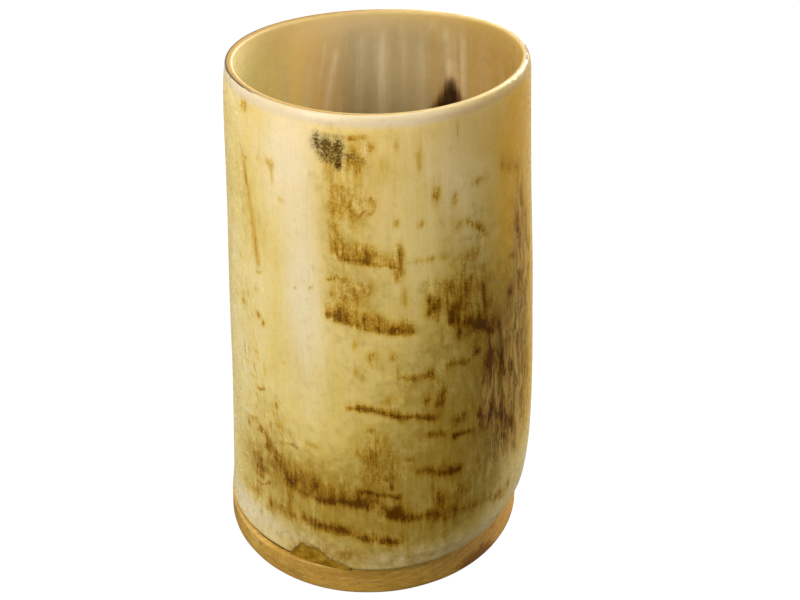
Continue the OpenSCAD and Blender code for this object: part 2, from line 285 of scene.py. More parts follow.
INK_BLOTS = [
    (-108, 114, 4, 3, 0.5), (-109, 115.4, 2.6, 1.5, 0.85), (-104.2, 115, 1, 2, 1.0),
    (-105.2, 111.2, 1, 1.4, 0.8), (-97.4, 112.4, 1.3, 1.4, 0.4), (-113, 116.6, 1.4, 2, 0.6),
    (-107, 113, 2.4, 1.4, 0.7), (-100, 113.4, 1.6, 0.9, 0.6), (-106, 117.6, 3.4, 0.8, 0.4),
    (-116.6, 12.4, 0.9, 2.6, 0.5), (-127, 35.2, 1.2, 0.7, 0.7), (-64, 117, 0.4, 4, 0.4),
    (-125, 34.6, 0.9, 0.7, 0.5),
]
AMBER_LINES = [  # warm streaks in the horn itself
    (LEFT_STREAK, 1.3, 0.34),
    ([(-24, 112), (-21, 92), (-20, 74)], 2.2, 0.5),
]
AMBER_BLOTS = [
    (-32, 92, 10, 26, 0.95), (-24, 55, 10, 34, 0.95), (-42, 62, 8, 26, 0.5), (-22, 112, 11, 18, 0.85),
    (-44, 112, 8, 14, 0.35), (-30, 34, 10, 12, 0.4), (-24, 84, 7, 34, 0.8),
]
# Painted light among these: highlight bands at -120 and -126 (partly real pale horn), a lit strip at the
# right edge at -11, and bounce light on the foot at -20, -24 and -44.
PALE_BLOTS = [  # the whiter layer under the yellow skin, and some painted light
    (-120, 80, 7, 32, 0.75), (-126, 112, 10, 14, 0.7), (-150, 5, 18, 5.5, 0.85), (-162, 70, 10, 50, 0.05),
    (-120, 6, 14, 4, 0.4), (-96, 4, 16, 4, 0.6), (-72, 4, 12, 4, 0.3), (-66, 108, 8, 14, 0.4),
    (-62, 3, 12, 3, 0.2), (-20, 6, 16, 9, 0.38), (-11, 60, 6.5, 45, 0.3), (-24, 14, 10, 9, 0.28),
    (-44, 4, 11, 6, 0.28), (-96, 101, 1.4, 1.4, 0.6), (-38, 66, 1.6, 1.4, 0.6), (-34, 80, 1.6, 1.4, 0.6),
    (-47, 27, 1.4, 2, 0.6), (-60, 90, 4, 12, 0.3),
]
HALO_AND_SHADE = [  # brown haze round the stains, and painted shade over the right, the lower right, along the foot and at the far left edge
    (-103, 98, 7, 18, 0.28), (-99, 80, 9, 9, 0.3), (-66, 76, 10, 12, 0.42), (-51, 54, 11, 18, 0.74),
    (-46, 36, 13, 11, 0.55), (-125, 26, 13, 9, 0.5), (-104, 22, 14, 10, 0.6), (-90, 24, 12, 12, 0.6),
    (-112, 13, 22, 5, 0.28), (-70, 21, 14, 12, 0.7), (-88, 40, 12, 9, 0.35), (-62, 40, 13, 20, 0.6),
    (-78, 58, 10, 14, 0.36), (-100, 56, 26, 14, 0.14), (-150, 24, 8, 8, 0.3), (-138, 40, 10, 8, 0.22),
    (-32, 76, 10, 16, 0.1), (-34, 56, 8, 26, 0.6), (-56, 96, 12, 14, 0.12), (-142, 92, 5, 14, 0.22),
    (-95, 8, 26, 9, 0.4), (-128, 18, 20, 12, 0.35), (-105, 2, 30, 6, 0.35), (-76, 16, 11, 8, 0.55),
    (-84, 32, 16, 10, 0.3), (-70, 46, 12, 12, 0.35), (-104, 88, 8, 26, 0.1), (-45, 58, 13, 18, 0.92),
    (-66, 30, 14, 14, 0.4), (-74, 16, 9, 5.5, 0.85), (-60, 16, 9, 4, 0.45), (-56, 84, 10, 12, 0.15),
    (-100, 30, 14, 6, 0.12), (-138, 24, 10, 10, 0.25), (-168, 88, 5, 36, 0.22),
]
DASH_BLOTS = [  # where short slanting dashes of stain are scattered
    (-153, 84, 4, 22, 0.8), (-151, 52, 6, 16, 1.0), (-144, 37, 9, 8, 1.0), (-132, 32, 8, 7, 0.7),
    (-104, 60, 5, 8, 0.3),
]
INNER_STREAKS = [  # pale streaks inside, and a painted highlight near the rim at 57 to 64 degrees, as paths of (angle, depth below the rim)
    ([(114.7, 30), (107.6, 10)], 0.9, 0.85), ([(123.2, 28), (120.8, 14)], 1.0, 0.75),
    ([(131.6, 24), (132, 14)], 0.9, 0.6), ([(49, 22), (49, 3)], 0.7, 0.34),
    ([(56, 26), (55.5, 12)], 0.7, 0.3), ([(64, 2.6), (57, 5)], 0.8, 0.4), ([(88, 30), (86, 6)], 1.4, 0.3),
    ([(98, 26), (96, 8)], 1.6, 0.25),
]
PEELED = [(-27, 74, 6.2, 22), (-38, 42, 13, 21)]  # where the skin came off: angle, height and the halves
BACK_TURN, BACK_SHIFT = 172, 9  # the unseen side carries the same kinds of mark, turned and moved


def turn(a, b):
    """From angle b to angle a the short way, in degrees."""
    return (a - b + 180) % 360 - 180


def arc(degrees):
    return np.radians(degrees) * SKIN_R


def blot(mark, a, h):
    angle, height, wide, tall, strength = mark
    return strength * np.exp(-((arc(turn(a, angle)) / wide) ** 2) - ((h - height) / tall) ** 2)


def bar(mark, a, h):
    path, below, above, strength = mark
    ends = path[0][0], path[-1][0]
    middle = (ends[0] + ends[1]) / 2
    local = middle + turn(a, middle)
    offset = h - np.interp(local, [p[0] for p in path], [p[1] for p in path])
    beyond = arc(np.maximum(0, np.maximum(ends[0] - local, local - ends[1])))
    core = np.exp(-((offset / np.where(offset > 0, min(above, 0.9), below)) ** 2))
    comb = 0.68 * np.exp(-((offset / above) ** 2)) * (offset > 0)
    return strength * np.maximum(core, comb) * np.exp(-((beyond / 0.8) ** 2))


def line(mark, a, h):
    path, half, strength = mark
    nearest = np.full(a.shape, 1e9)
    for (a0, h0), (a1, h1) in zip(path, path[1:]):
        x, y = arc(turn(a, a0)), h - h0
        dx, dy = arc(a1 - a0), h1 - h0
        s = np.clip((x * dx + y * dy) / (dx * dx + dy * dy), 0, 1)
        nearest = np.minimum(nearest, np.hypot(x - s * dx, y - s * dy))
    return strength * np.exp(-((nearest / half) ** 2))


def overlaid(*shares):
    """Covers of 0 to 1 laid over each other."""
    return 1 - math.prod(1 - share for share in shares)


def gather(kind, marks, a, h):
    """All the marks of one kind laid over each other."""
    return overlaid(*(np.clip(kind(mark, a, h), 0, 1) for mark in marks))


def stains(a, h):
    """All the brown stains, with their outlines made to wander a little."""
    wander = layered(40, 5, 5)
    a = a + (wander(a, h) - 0.5) * 1.6
    h = h + (wander(a + 90, h) - 0.5) * 1.6
    return overlaid(gather(bar, BARS, a, h), gather(blot, BLOTS, a, h), gather(line, LINES, a, h))


def skin_maps(a, h):
    """How much of each kind of mark is at each point of the outside, from 0 to 1."""
    back = a + BACK_TURN, h + BACK_SHIFT * sind(a)
    hidden = smooth(20, 40, np.abs(turn(a, -90)) - 60)  # 0 over the front, 1 over the back
    brown = stains(a, h) * (1 - hidden) + stains(*back) * hidden
    reach = [np.hypot(arc(turn(a, at)) / wide, (h - up) / tall) for at, up, wide, tall in PEELED]
    patch = np.min(reach, axis=0)
    peel = 1 - smooth(0.7, 1.2, patch + 0.7 * (layered(7, 7, 9)(a, h) - 0.5))
    return {
        "brown": brown,
        "ink": gather(blot, INK_BLOTS, a, h),
        "amber": overlaid(gather(line, AMBER_LINES, a, h), gather(blot, AMBER_BLOTS, a, h)),
        "pale": gather(blot, PALE_BLOTS, a, h),
        "brink": smooth(118.8, 120.4, h),
        "dashes": gather(blot, DASH_BLOTS, a, h),
        # brown haze and painted shade, with the same blots also turned onto the unseen back
        "halo_and_shade": gather(blot, HALO_AND_SHADE, a, h) * (1 - hidden) + gather(blot, HALO_AND_SHADE, *back) * hidden,
        "peel": peel,
    }


# ---------- meshes ----------
def add_object(name, data):
    obj = bpy.data.objects.new(name, data)
    bpy.context.scene.collection.objects.link(obj)
    return obj


def ring_mesh(name, rings, fields=None, closed=False):
    """A mesh through rings of points in millimetres; closed also joins the last ring to the first."""
    rings = np.asarray(rings, float)
    n, m = rings.shape[:2]
    rows = np.arange(n if closed else n - 1)
    i, j = np.meshgrid(rows, np.arange(m), indexing="ij")
    up, on = (i + 1) % n, (j + 1) % m
    quads = np.stack([i * m + j, i * m + on, up * m + on, up * m + j], -1).reshape(-1, 4)
    return quad_mesh(name, rings.reshape(-1, 3), quads, fields)


def quad_mesh(name, points, quads, fields=None):
    """A smooth mesh of four-sided faces, with a value at every point for each named field."""
    mesh = bpy.data.meshes.new(name)
    mesh.vertices.add(len(points))
    mesh.vertices.foreach_set("co", (points * MM).astype(np.float32).ravel())
    mesh.loops.add(quads.size)
    mesh.loops.foreach_set("vertex_index", quads.astype(np.int32).ravel())
    mesh.polygons.add(len(quads))
    mesh.polygons.foreach_set("loop_start", np.arange(0, quads.size, 4, dtype=np.int32))
    mesh.update(calc_edges=True)
    mesh.polygons.foreach_set("use_smooth", np.ones(len(quads), bool))
    for field, values in (fields or {}).items():
        layer = mesh.attributes.new(field, "FLOAT", "POINT")
        layer.data.foreach_set("value", values.astype(np.float32).ravel())
    mesh.validate()
    return add_object(name, mesh)


def level_ring(angles, r, z, x=0):
    """A ring of points round the axis at x, at one height or at a height for each."""
    return np.column_stack([x + r * cosd(angles), r * sind(angles), np.zeros(len(angles)) + z])


def seat_ring(angles, r, x=0, under=0):
    """A ring of points on the sloping seat, or so far under it."""
    ring = level_ring(angles, r, 0, x)
    ring[:, 2] = seat_z(ring[:, 0], ring[:, 1]) - under
    return ring


def round_columns():
    """Angles round the barrel, closer together over the front, where the finest marks are."""
    return np.concatenate([np.arange(-172, -8, 0.7), np.arange(-8, 188, 1.6)])


def chip_height(a):
    """Height of the chip above the seat at an angle, or below zero outside it."""
    across = arc(turn(a, CHIP_ANGLE)) / CHIP_W
    xs = [-0.52] + [p[0] for p in CHIP_TOP] + [0.52]
    ys = [-1] + [p[1] * CHIP_H for p in CHIP_TOP] + [-1]
    return np.interp(across, xs, ys)


def outside_relief(a, h, maps):
    """Height of the skin over the smooth loft: unevenness, sunk stains, peeled flakes and the chip."""
    uneven = 0.22 * (Lumps(1, 21, 30)(a, h) - 0.5) + 0.1 * (Lumps(2, 8, 13)(a, h) - 0.5)
    pits = -0.09 * maps["brown"] * layered(3, 1.6, 2.4)(a, h)
    flakes = layered(5, 5, 9)(a + 0.25 * h, h) * 7
    step = np.floor(flakes) + smooth(0.75, 1, flakes - np.floor(flakes))
    peeled = -0.12 * maps["peel"] * (step - 1) * smooth(0, 0.4, maps["peel"])
    fade = smooth(0, 3, h) * smooth(0, 3, LENGTH - h)
    notch = smooth(-0.25, 0.25, chip_height(a) + 0.4 * (Lumps(6, 1.2, 1.2)(a, h) - 0.5) - h)
    return (uneven + pits + peeled) * fade - SKIN_DOWN - CHIP_DEPTH * notch


def rim_nicks(a, h):
    """Small breaks along the outer top edge, most of them at the right."""
    where = smooth(0.62, 0.8, Lumps(8, 1.6, 50)(a, h)) * smooth(60, 20, np.abs(turn(a, -10)))
    return where * smooth(1.4, 0.2, LENGTH - h)


def make_barrel():
    """The horn as one closed skin: up the outside, over the lip, down the inside and back under the seat."""
    cols = round_columns()
    low = np.linspace(0, 1 - BEVEL_H / LENGTH, 200)
    rounding = 1 - BEVEL_H / LENGTH * (1 - sind(np.linspace(0, 90, 15)))[1:]
    t, a = np.meshgrid(np.concatenate([low, rounding]), cols, indexing="ij")
    h = t * LENGTH
    maps = skin_maps(a, h)
    relief = outside_relief(a, h, maps) - NICK_DEPTH * rim_nicks(a, h)
    relief -= 0.3 * np.maximum(0, 1 - h / 0.5) ** 2  # the lower edge is eased with sandpaper
    outside = outer_point(t, a, relief)

    edge, lip = outside[-1], inner_point(np.ones_like(cols), cols)
    width = np.linalg.norm(lip - edge, axis=1)[:, None]
    across = (lip - edge) / width
    flat = [edge + across * (width - LIP_EASE) * s for s in LIP_FLAT]
    curl = [lip - across * LIP_EASE * (1 - sind(b)) - [0, 0, LIP_EASE * (1 - cosd(b))] for b in LIP_CURL]
    floor_t = (BORE_TOP - SEAT_H) / LENGTH
    down = np.linspace(1, floor_t + 0.012, 42)[1:]
    ti, ai = np.meshgrid(down, cols, indexing="ij")
    ripple = 0.12 * (Lumps(11, 9, 40)(ai, ti * LENGTH) - 0.5) * smooth(0, 4, LENGTH * (1 - ti))
    inside = inner_point(ti, ai, -ripple)

    bore = [level_ring(cols, BORE_R, z, SPIGOT_X) for z in (BORE_TOP, 14)]
    rings = np.concatenate([outside, flat, curl, inside, bore, [seat_ring(cols, BORE_R, SPIGOT_X)]])

    depth = LENGTH * (1 - np.concatenate([np.ones(len(LIP_SHARE)), down, [0.1, 0.05, 0]]))
    return ring_mesh("horn_skin", rings, horn_fields(a, h, maps, cols, depth), closed=True)


def horn_fields(a, h, maps, cols, depth):
    """What the horn's material reads at every point: first for the outside, then from the lip inwards."""
    depth, a_in = np.meshgrid(depth, cols, indexing="ij")
    none_out, none_in = np.zeros_like(a), np.zeros_like(a_in)

    def both(outer, inner):
        return np.concatenate([outer, inner])

    fields = {key: both(value, none_in) for key, value in maps.items()}
    fields["inside"] = both(none_out, none_in + 1)
    fields["turn_in"] = 0.5 + 0.5 * cosd(both(a, a_in))  # 1 at the right, 0 at the left
    fields["near_rim"] = both(none_out, smooth(9, 0.5, depth))
    fields["pigment"] = both(none_out, pigment(a_in, depth))
    fields["shine"] = both(none_out, gather(line, INNER_STREAKS, a_in, depth))
    lip = slice(len(a), len(a) + len(LIP_SHARE))
    fields["rim"] = both(none_out, none_in)
    fields["rim"][lip] = np.array(LIP_SHARE)[:, None]
    fields["edge_dark"] = both(edge_dark(a, h), none_in)
    fields["edge_dark"][lip.start] = 0.75 * smooth(95, 50, np.abs(turn(cols, 150)))
    return fields


def pigment(a, depth):
    """The dark tongue of pigment inside the horn, pointing up at the right of the back wall."""
    half = np.clip((depth - 16) * 0.42, 0.1, 9) * smooth(80, 45, depth)
    side = arc(turn(a, 55)) * 0.9
    side = np.where(side > 0, side * 0.8, -side)
    tongue = smooth(half + 2.4, half - 2, side) * smooth(12, 19, depth)
    return tongue * smooth(74, 50, depth + 8 * layered(12, 4, 12)(a, depth))


def edge_dark(a, h):
    """The dark line along the outer top edge: round the left, and in broken bits at the right."""
    from_left = np.abs(turn(a, 174))
    left = 0.7 * smooth(46, 30, from_left) + 0.3 * smooth(104, 50, from_left)
    right = smooth(18, 9, np.abs(turn(a, 0))) * smooth(0.3, 0.5, Lumps(9, 2, 50)(a, h))
    ragged = 0.2 * (Lumps(10, 2, 50)(a, h) - 0.5)
    return np.maximum(left, right) * smooth(0.24, 0.08, LENGTH - h - ragged)


def make_base():
    """The turned base: a disc with a rounded lower edge, and the spigot that goes up inside the horn."""
    cols = np.arange(0, 360, 1.2)
    wobble = 0.1 * (Lumps(20, 30, 20)(cols, cols * 0) - 0.5)
    top_r = FOOT_R - FOOT_TAPER + wobble
    rings = [level_ring(cols, r, 0) for r in (0.01, 12, 24, 34, 38)]
    for b in np.linspace(0, 90, 7):
        worn = FOOT_ROUND * (1 + 0.25 * (Lumps(21, 7, 20)(cols, cols * 0) - 0.5))
        rings.append(level_ring(cols, FOOT_R + wobble - worn * (1 - sind(b)), worn * (1 - cosd(b))))
    brink = seat_ring(cols, top_r, under=GLUE_FILM)[:, 2]
    for s in np.linspace(0, 1, 14)[1:]:
        z = FOOT_ROUND + (brink - 0.15 - FOOT_ROUND) * s
        dents = 0.05 * (layered(22, 5, 3)(cols, z) - 0.5)
        rings.append(level_ring(cols, FOOT_R + (top_r - FOOT_R) * s + wobble * (1 - s) + dents, z))
    for r, x in ((top_r - 0.2, 0), (top_r - 1.2, 0), (SPIGOT_R, SPIGOT_X)):
        rings.append(seat_ring(cols, r, x, GLUE_FILM))
    for r, z in ((SPIGOT_R, PLUG_H), (PLUG_R, SPIGOT_TOP), (20, SPIGOT_TOP), (0.01, SPIGOT_TOP)):
        rings.append(level_ring(cols, r, z, SPIGOT_X))
    return ring_mesh("wood_base_turned", rings)


def make_seal():
    """The clear layer over the wood floor, dished up to the horn at its edge."""
    cols = np.arange(0, 360, 3)
    top = SPIGOT_TOP + SEAL_T

    def ring(r, z):
        ripple = 0.06 * (Lumps(30, 14, 14)(cols, cols * 0 + r) - 0.5) * (z > top - 0.1)
        return level_ring(cols, r, z + ripple, SPIGOT_X)

    rings = [ring(0.01, SPIGOT_TOP), ring(PLUG_R, SPIGOT_TOP), ring(SPIGOT_R, PLUG_H)]
    rings += [ring(BORE_R, PLUG_H), ring(BORE_R, top + MENISCUS)]
    for b in np.linspace(90, 0, 12):
        r = BORE_R - MENISCUS_W * (1 - sind(b)) - 0.2 * sind(b)
        rings.append(ring(r, top + MENISCUS * (1 - cosd(b))))
    rings += [ring(r, top) for r in (30, 24, 18, 12, 6, 0.01)]
    return ring_mesh("resin_floor", rings)


def make_filler():
    """The paste in the chip: a rough face a little below the horn's skin, closed behind."""
    half = 0.5 * CHIP_W / SKIN_R * 180 / math.pi
    cols = CHIP_ANGLE + np.linspace(-half, half, 70)
    s = np.linspace(0, 1, 24)
    share, a = np.meshgrid(s, cols, indexing="ij")
    h = share * (np.maximum(chip_height(a), 0.1) + 0.4) - 0.25 * (1 - share)
    rough = layered(50, 1.4, 1.1)(a, h)
    front = outer_point(h / LENGTH, a, -0.05 - 0.12 * rough - 0.2 * smooth(0.94, 1, share))
    behind = outer_point(h / LENGTH, a, np.full(a.shape, -1.9))
    n, m = a.shape
    points = np.concatenate([front.reshape(-1, 3), behind.reshape(-1, 3)])
    i, j = np.meshgrid(np.arange(n - 1), np.arange(m - 1), indexing="ij")
    face = np.stack([i * m + j, i * m + j + 1, (i + 1) * m + j + 1, (i + 1) * m + j], -1).reshape(-1, 4)
    rim = np.concatenate([
        np.arange(m), np.arange(1, n) * m + m - 1, (n - 1) * m + np.arange(m - 2, -1, -1),
        np.arange(n - 2, 0, -1) * m,
    ])
    after = np.roll(rim, -1)
    wall = np.stack([after, rim, rim + n * m, after + n * m], -1)
    crest = smooth(0.8, 1, share)
    fields = {"crest": np.concatenate([crest.ravel(), crest.ravel()])}
    return quad_mesh("edge_paste", points, np.concatenate([face, face[:, ::-1] + n * m, wall]), fields)


# ---------- materials ----------
FLOAT_A, FLOAT_B, COLOUR_A, COLOUR_B, COLOUR_OUT = 2, 3, 6, 7, 2  # places of a Mix node's sockets


class Shader:
    """A node material built by short calls; every call returns an output socket."""

    def __init__(self, name):
        self.material = bpy.data.materials.new(name)
        self.material.use_nodes = True
        self.tree = self.material.node_tree
        self.surface = self.tree.nodes["Principled BSDF"]

    def node(self, kind, inputs=None, **settings):
        new = self.tree.nodes.new("ShaderNode" + kind)
        for key, value in settings.items():
            setattr(new, key, value)
        for key, value in (inputs or {}).items():
            self.put(new.inputs[key], value)
        return new

    def put(self, socket, value):
        if isinstance(value, bpy.types.NodeSocket):
            self.tree.links.new(value, socket)
        elif isinstance(value, tuple) and len(value) == 3 and socket.type == "RGBA":
            socket.default_value = (*value, 1)
        else:
            socket.default_value = value

    def field(self, name):
        return self.node("Attribute", attribute_name=name).outputs["Fac"]

    def place(self, scale=(1, 1, 1), rotation=(0, 0, 0), where=None):
        """The point in the object's own space, or another, stretched and turned."""
        where = where or self.node("TexCoord").outputs["Object"]
        turned = {"Vector": where, "Scale": scale, "Rotation": tuple(math.radians(r) for r in rotation)}
        return self.node("Mapping", turned).outputs["Vector"]

    def upright(self, squeeze):
        """The object's space with its heights squeezed, so that noise in it makes upright streaks."""
        return self.place(scale=(1, 1, squeeze))

    def noise(self, where, size, detail=3, rough=0.55, twist=0):
        """Random values about 0.5 with features of the given size in millimetres."""
        values = {"Scale": 1 / (size * MM), "Detail": detail, "Roughness": rough, "Distortion": twist}
        return self.node("TexNoise", {"Vector": where, **values}).outputs["Fac"]

    def maths(self, operation, *values):
        return self.node("Math", dict(enumerate(values)), operation=operation).outputs[0]

    def times(self, a, b):
        return self.maths("MULTIPLY", a, b)

    def vary(self, value, noise, strength):
        """A value raised and lowered by a noise."""
        return self.maths("MULTIPLY_ADD", self.maths("SUBTRACT", noise, 0.5), strength, value)

    def ramp(self, value, low, high, to_low=0, to_high=1):
        """A soft step from to_low to to_high as the value goes from low to high."""
        spans = {"Value": value, "From Min": low, "From Max": high, "To Min": to_low, "To Max": to_high}
        return self.node("MapRange", spans, interpolation_type="SMOOTHSTEP").outputs[0]

    def colours(self, value, stops):
        """A colour for a value, from stops of (position, colour)."""
        new = self.node("ValToRGB", {"Fac": value})
        band = new.color_ramp
        band.elements[0].position, band.elements[1].position = stops[0][0], stops[-1][0]
        band.elements[0].color, band.elements[1].color = (*stops[0][1], 1), (*stops[-1][1], 1)
        for position, colour in stops[1:-1]:
            band.elements.new(position).color = (*colour, 1)
        return new.outputs["Color"]

    def blend(self, factor, a, b, kind="MIX"):
        """Colour a with colour b laid over it by a factor."""
        values = {"Factor": factor, COLOUR_A: a, COLOUR_B: b}
        new = self.node("Mix", values, data_type="RGBA", blend_type=kind, clamp_factor=True)
        return new.outputs[COLOUR_OUT]

    def layers(self, under, *coats):
        """Colours laid one over another, each as its value goes from low to high, and up to a share."""
        for value, low, high, share, colour in coats:
            under = self.blend(self.ramp(value, low, high, 0, share), under, colour)
        return under

    def bump(self, height, depth, under=None):
        """A fine relief of so many millimetres, over an earlier one."""
        values = {"Height": height, "Strength": 1, "Distance": depth * MM}
        if under is not None:
            values["Normal"] = under
        return self.node("Bump", values).outputs["Normal"]

    def finish(self, **sockets):
        """Set or link the shader's own sockets, and give the material."""
        for key, value in sockets.items():
            self.put(self.surface.inputs[key.replace("_", " ")], value)
        return self.material


# BONE also gives the painted highlights and bounce light; SHADE the brown haze and the painted shade
CREAM, BUTTER, YELLOW = (0.83, 0.68, 0.34), (0.75, 0.59, 0.21), (0.65, 0.485, 0.12)
BONE, AMBER, SHADE = (0.8, 0.69, 0.49), (0.7, 0.42, 0.03), (0.34, 0.23, 0.028)


def horn_noise(s):
    """The random patterns that the horn's colours and its relief share."""
    plain = s.place()
    return SimpleNamespace(
        fibre=s.noise(s.upright(0.05), 0.45, detail=4, rough=0.6),
        broad_fibre=s.noise(s.upright(0.12), 5),
        cloud=s.noise(plain, 22, rough=0.6, twist=0.5),
        speck=s.noise(plain, 0.55, rough=0.75),
        mottle=s.noise(plain, 2.6, detail=4, rough=0.65),
        comb=s.noise(s.upright(0.1), 1, detail=5, rough=0.75),
        blotch=s.noise(s.upright(0.5), 2.8, detail=4, rough=0.65),
        streaks=s.noise(s.upright(0.03), 3, detail=4, rough=0.6),
    )


def horn_body(s, noise):
    """The horn's colour: cream to yellow in clouds and fibres, whiter where the skin is ground away, with
    painted highlights and shade.
    """
    depth = s.maths("ADD", s.times(noise.cloud, 0.65), s.times(noise.broad_fibre, 0.35))
    body = s.layers(
        s.colours(depth, [(0.3, YELLOW), (0.5, BUTTER), (0.68, CREAM)]),
        (noise.mottle, 0.55, 0.8, 0.22, (0.62, 0.44, 0.12)),
        (noise.streaks, 0.5, 0.72, 0.3, (0.8, 0.67, 0.4)),
        (noise.streaks, 0.48, 0.28, 0.3, (0.56, 0.4, 0.11)),
        # pale horn, with the painted highlights and bounce light of PALE_BLOTS
        (s.field("pale"), 0.05, 0.95, 0.85, BONE),
        (s.vary(s.field("amber"), noise.streaks, 0.9), 0.1, 0.85, 0.97, AMBER),
    )
    # the rounded top edge: a pale ground band whose pale colour is partly a painted highlight, more amber at
    # the right
    worn = s.layers((0.64, 0.54, 0.37), (s.field("turn_in"), 0.5, 0.95, 1, (0.56, 0.42, 0.18)))
    return s.layers(
        s.blend(s.field("brink"), body, worn),
        (noise.fibre, 0.35, 0.7, 0.16, (0.55, 0.4, 0.14)),
        (s.field("peel"), 0.1, 0.9, 0.6, (0.52, 0.3, 0.075)),
        # painted shade and the brown haze round the stains, laid over in SHADE
        (s.vary(s.field("halo_and_shade"), noise.mottle, 1.2), 0.02, 0.95, 0.85, SHADE),
    )


def stain_amount(s, noise):
    """How strong the brown is: stains break up along the fibres at their edges and into specks where thin."""
    # the haze and the painted shade also add to the stain's strength
    brown = s.maths("MULTIPLY_ADD", s.field("halo_and_shade"), 0.3, s.field("brown"))
    ragged = s.maths("MULTIPLY_ADD", noise.speck, 0.65, noise.blotch)
    ragged = s.maths("MULTIPLY_ADD", noise.comb, 0.95, ragged)
    ragged = s.maths("SUBTRACT", ragged, 1.3)  # the mean of the three together
    return s.maths("MULTIPLY_ADD", ragged, s.ramp(brown, 0.02, 0.5, 0, 1.8), s.times(brown, 0.84))


def peeled_flakes(s):
    """The plates left where the skin came off, and the cracks between them."""
    flakes = s.noise(s.upright(0.16), 1.9, detail=6, rough=0.7, twist=0.8)
    plate_edge = 0.47
    from_edge = s.maths("ABSOLUTE", s.maths("SUBTRACT", flakes, plate_edge))
    plates = s.times(s.ramp(flakes, plate_edge, 0.52), s.ramp(s.field("peel"), 0.1, 0.7))
    cracks = s.times(s.ramp(from_edge, 0.025, 0), s.field("peel"))
    return plates, cracks


def horn_outside(s, noise, amount, plates, cracks):
    """The outside: stains, flakes, ink under the rim and slanting dashes over the horn's own colour."""
    tint = s.colours(amount, [
        (0, (1, 1, 1)), (0.25, (0.88, 0.79, 0.5)), (0.5, (0.72, 0.53, 0.18)), (0.75, (0.5, 0.32, 0.07)),
        (1, (0.24, 0.125, 0.02)),
    ])
    skin = s.blend(1, horn_body(s, noise), tint, "MULTIPLY")
    skin = s.blend(s.times(plates, 0.36), skin, (0.7, 0.43, 0.12))
    skin = s.blend(s.times(cracks, 0.65), skin, (0.19, 0.08, 0.008))

    ink = s.times(s.ramp(noise.comb, 0.3, 0.7, 0.7, 1.15), s.ramp(noise.speck, 0.35, 0.65, 0.6, 1.2))
    ink = s.times(ink, s.field("ink"))
    skin = s.blend(s.ramp(ink, 0.1, 0.8), skin, (0.17, 0.12, 0.055), "MULTIPLY")

    slant = s.place(scale=(1, 1, 0.32), where=s.place(rotation=(25, 0, 0)))
    dash = s.ramp(s.noise(slant, 1.3, rough=0.6), 0.56, 0.65)
    dash = s.times(s.times(dash, s.field("dashes")), s.ramp(noise.blotch, 0.4, 0.6, 0.15, 1))
    return s.blend(s.times(dash, 0.85), skin, (0.42, 0.3, 0.08), "MULTIPLY")


def horn_inside(s):
    """The hollow: tan with long light and dark streaks down the wall, painted light making it yellower at the
    left and lighter near the rim; and the lip.
    """
    right, near_rim = s.field("turn_in"), s.field("near_rim")
    streak = s.noise(s.place(scale=(1, 1, 0.05), rotation=(0, 4, 0)), 4.5, rough=0.5)
    fine_streak = s.noise(s.upright(0.02), 0.7, rough=0.6)
    # painted light: the wall is brightest and yellowest at the left, standing in for light coming through the
    # thin horn
    wall = s.colours(right, [
        (0, (1, 0.82, 0.4)), (0.2, (0.95, 0.76, 0.34)), (0.42, (0.46, 0.37, 0.2)),
        (0.65, (0.42, 0.33, 0.17)), (1, (0.37, 0.215, 0.042)),
    ])
    middle = s.times(s.ramp(right, 0.1, 0.4), s.ramp(right, 0.95, 0.65, 0.3, 1))
    wall = s.blend(s.times(s.ramp(streak, 0.45, 0.75, 0, 0.5), middle), wall, (0.64, 0.54, 0.35))
    burnt = s.times(s.ramp(streak, 0.48, 0.26, 0, 0.36), s.ramp(right, 0.2, 0.8))
    wall = s.blend(burnt, wall, (0.42, 0.26, 0.07))

    # pale streaks: slanting ones at the left, and those laid out in INNER_STREAKS, one of them a painted
    # highlight
    slant = s.place(scale=(1, 1, 0.07), where=s.place(rotation=(0, -9, 0)))
    gleam = s.ramp(s.noise(slant, 2.4, rough=0.6), 0.5, 0.66, 0, 0.45)
    gleam = s.times(s.times(gleam, s.ramp(right, 0.5, 0.3)), s.ramp(near_rim, 0.3, 0))
    shine = s.times(s.field("shine"), s.ramp(fine_streak, 0.35, 0.6, 0.6, 1.1))
    wall = s.blend(s.maths("MAXIMUM", gleam, shine), wall, (0.84, 0.74, 0.54))

    # painted light: the top of the inside wall is lighter, as if more lit near the rim
    upper = [(0.1, (0.92, 0.75, 0.42)), (0.45, (0.68, 0.55, 0.29)), (0.85, (0.44, 0.3, 0.09))]
    dark = s.vary(s.field("pigment"), fine_streak, 0.6)
    wall = s.layers(
        wall,
        (near_rim, 0, 1, 0.65, s.colours(right, upper)),
        (fine_streak, 0.56, 0.74, 0.1, (0.72, 0.63, 0.46)),
        (dark, 0.1, 0.6, 0.6, (0.15, 0.05, 0.012)),
        (dark, 0.3, 0.95, 0.95, (0.03, 0.014, 0.008)),
    )

    lip = s.colours(right, [
        (0.05, (0.34, 0.19, 0.02)), (0.3, (0.33, 0.18, 0.018)), (0.65, (0.44, 0.29, 0.08)),
        (1, (0.47, 0.31, 0.09)),
    ])
    return s.blend(s.field("rim"), wall, s.layers(lip, (streak, 0.4, 0.7, 0.3, (0.3, 0.17, 0.04))))


